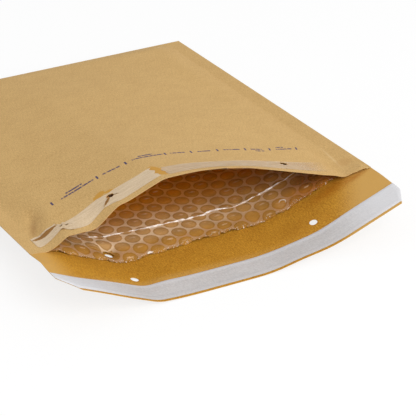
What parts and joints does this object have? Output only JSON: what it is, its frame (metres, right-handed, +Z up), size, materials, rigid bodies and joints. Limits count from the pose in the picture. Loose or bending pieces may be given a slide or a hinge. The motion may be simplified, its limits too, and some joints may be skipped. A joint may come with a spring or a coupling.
{
  "type": "padded envelope",
  "caption": "Padded paper mailer lying open: folded kraft sheet with glued sides, bubble film liner, unfolded flap with a peel-off closing strip, and torn film tape along the mouth.",
  "frame": {"origin": "middle of the footprint of the open mailer, on the surface that its back panel lies on", "axes": "+Y from the flap to the closed end, +X across the mailer to the right when the flap points to the viewer, +Z up"},
  "size_m": [0.24, 0.325, 0.0532],
  "materials": {
    "kraft_paper": "matt brown kraft paper with fine fibres",
    "bubble_film": "clear glossy film",
    "adhesive": "tacky, slightly glossy",
    "release_paper": "smooth white release paper",
    "film_tape": "thin pale film, torn and lifted in places"
  },
  "bodies": {
    "root": {"kraft_envelope": "kraft_paper", "bubble_liner": "bubble_film", "adhesive_band": "adhesive", "release_strip": "release_paper", "mouth_tape_left": "film_tape", "mouth_tape_right": "film_tape"}
  },
  "joints": []
}
